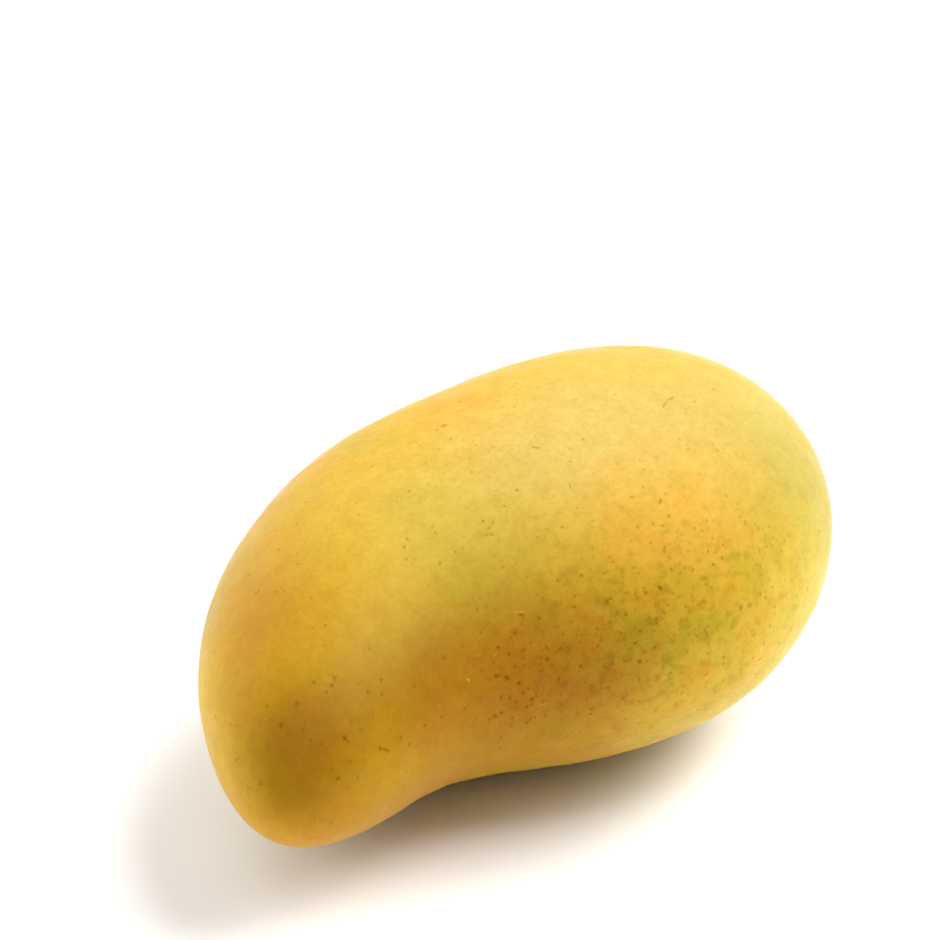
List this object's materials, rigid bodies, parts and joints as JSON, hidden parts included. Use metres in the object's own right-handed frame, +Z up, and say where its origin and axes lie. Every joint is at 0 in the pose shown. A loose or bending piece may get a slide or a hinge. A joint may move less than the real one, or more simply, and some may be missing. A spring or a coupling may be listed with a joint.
{
  "type": "ataulfo mango",
  "caption": "Whole ripe yellow mango of kidney form, plump at the stem end and drawn out to a blunt beak, lying on one cheek.",
  "frame": {"origin": "on the resting surface, under the centre of the fruit's bounding box", "axes": "+X towards the stem end along the fruit's length, -X towards the beak, +Y towards the rounded back, -Y towards the belly with the hollow before the beak, +Z up through the upper cheek"},
  "size_m": [0.1198, 0.0748, 0.0579],
  "materials": {
    "skin": "satin, waxy golden yellow fruit skin with greenish, orange and brown patches and fine dark specks",
    "stem": "dry, dark brown, cracked"
  },
  "bodies": {
    "root": {"fruit": "skin", "stem_stub": "stem"}
  },
  "joints": []
}
